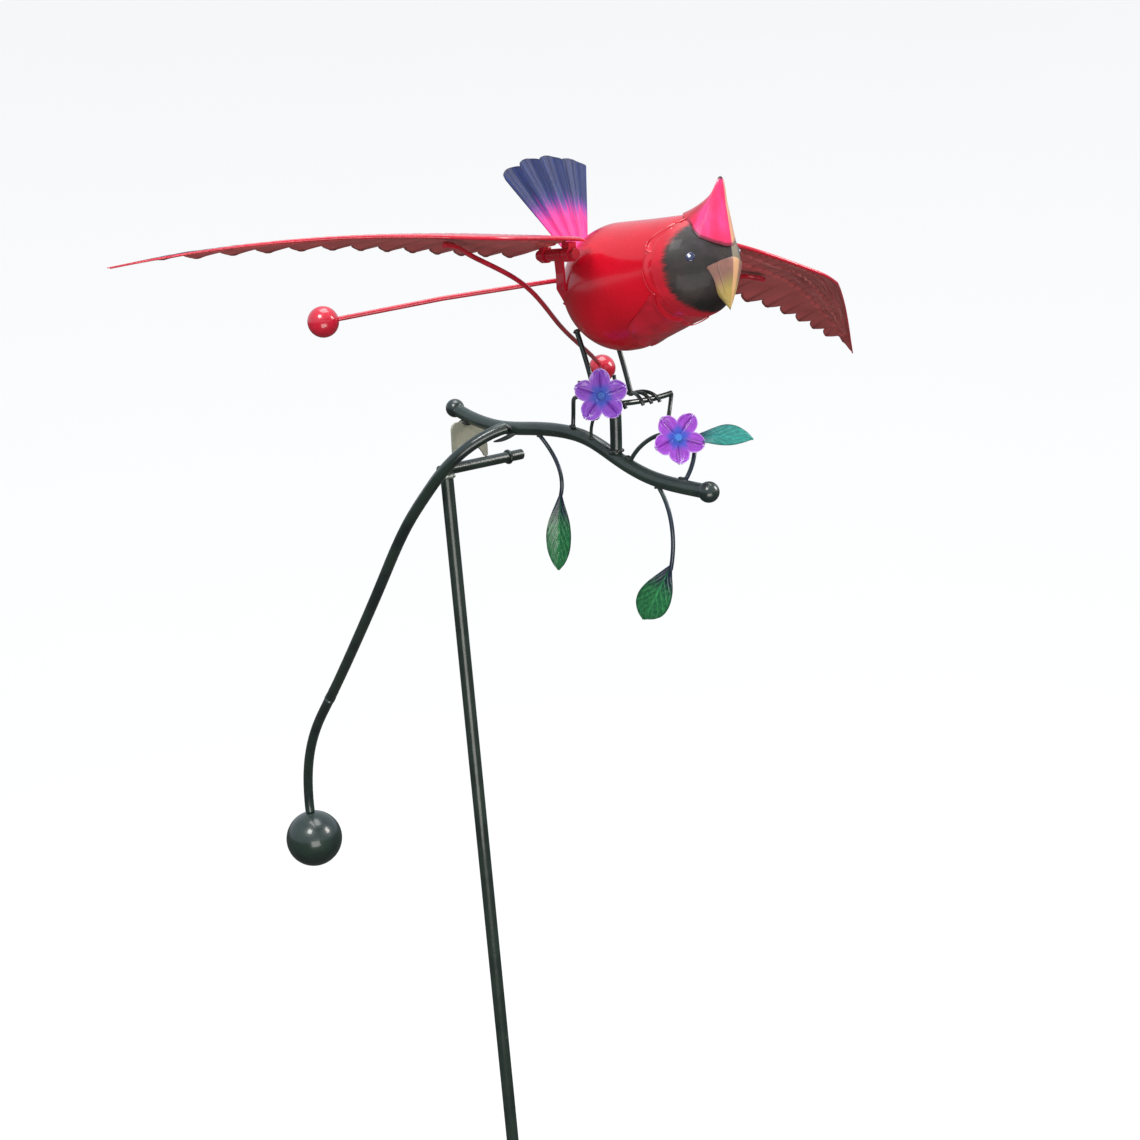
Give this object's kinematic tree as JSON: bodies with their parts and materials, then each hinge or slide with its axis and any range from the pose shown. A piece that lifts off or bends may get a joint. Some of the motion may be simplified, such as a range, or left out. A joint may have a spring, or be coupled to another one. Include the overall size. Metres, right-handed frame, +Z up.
{
  "type": "wind whirligig",
  "caption": "Garden wind whirligig: a metal bird on a balanced branch rocks on a stake crossbar and flaps two hinged, counterweighted wings.",
  "frame": {"origin": "middle of the crossbar, on its centre line, between the two saddle points", "axes": "+X the way the bird looks, +Y the bird's left, +Z up along the stake"},
  "size_m": [0.7159, 0.7988, 1.4546],
  "materials": {
    "stake_green": "gloss dark green enamel",
    "branch_green": "gloss dark green enamel",
    "saddle_grey": "semi-gloss pale grey-green enamel",
    "wing_red": "gloss red enamel, darker underneath, blue-black tips",
    "rod_red": "gloss red enamel",
    "body_red": "high-gloss red enamel",
    "mask_black": "brushed black enamel",
    "beak_gold": "satin gold enamel",
    "tail_pink": "hot pink shading to navy, satin",
    "petal_violet": "gloss violet with pale veins",
    "flower_blue": "gloss blue",
    "leaf_teal": "gloss teal",
    "leaf_green": "gloss green shading to black"
  },
  "bodies": {
    "stand": {"stake_upper": "stake_green", "stake_lower": "stake_green", "ground_spike": "stake_green", "ground_fork": "stake_green", "crossbar": "stake_green", "crossbar_stop": "stake_green"},
    "rocker": {"beak": "beak_gold", "body_shell_left": "body_red", "body_shell_right": "body_red", "branch_ball_front": "branch_green", "branch_ball_rear": "branch_green", "branch_tube": "branch_green", "breast_panel": "body_red", "bud_twig": "branch_green", "counterweight_arm": "branch_green", "counterweight_ball": "branch_green", "crest": "body_red", "face_mask": "mask_black", "flower_lower_centre": "flower_blue", "flower_lower_petals": "petal_violet", "flower_lower_stem": "branch_green", "flower_upper_centre": "flower_blue", "flower_upper_petals": "petal_violet", "flower_upper_stem": "branch_green", "foot_left": "branch_green", "foot_right": "branch_green", "head_hood": "body_red", "hinge_bracket_left": "rod_red", "hinge_bracket_right": "rod_red", "hinge_pin_left": "rod_red", "hinge_pin_right": "rod_red", "leaf_front": "leaf_green", "leaf_front_stem": "branch_green", "leaf_rear": "leaf_green", "leaf_rear_stem": "branch_green", "leaf_side": "leaf_teal", "leaf_side_stem": "branch_green", "leg_left": "branch_green", "leg_right": "branch_green", "perch_bar": "branch_green", "perch_post": "branch_green", "perch_wire": "branch_green", "saddle_plate": "saddle_grey", "tail_fan": "tail_pink"},
    "right_wing": {"wing_ball_right": "rod_red", "wing_knuckles_right": "rod_red", "wing_right": "wing_red", "wing_rod_right": "rod_red"},
    "left_wing": {"wing_ball_left": "rod_red", "wing_knuckles_left": "rod_red", "wing_left": "wing_red", "wing_rod_left": "rod_red"}
  },
  "joints": [
    {"name": "rocker_pivot", "type": "hinge", "parent": "stand", "child": "rocker", "pos_m": [0, 0, 0.0029], "axis": [0, 1, 0], "range_deg": [-14, 14]},
    {"name": "right_wing_hinge", "type": "hinge", "parent": "rocker", "child": "right_wing", "pos_m": [0.195, -0.05, 0.187], "axis": [-1, 0, 0], "range_deg": [-18, 10]},
    {"name": "left_wing_hinge", "type": "hinge", "parent": "rocker", "child": "left_wing", "pos_m": [0.195, 0.05, 0.187], "axis": [1, 0, 0], "range_deg": [-10, 18]}
  ]
}
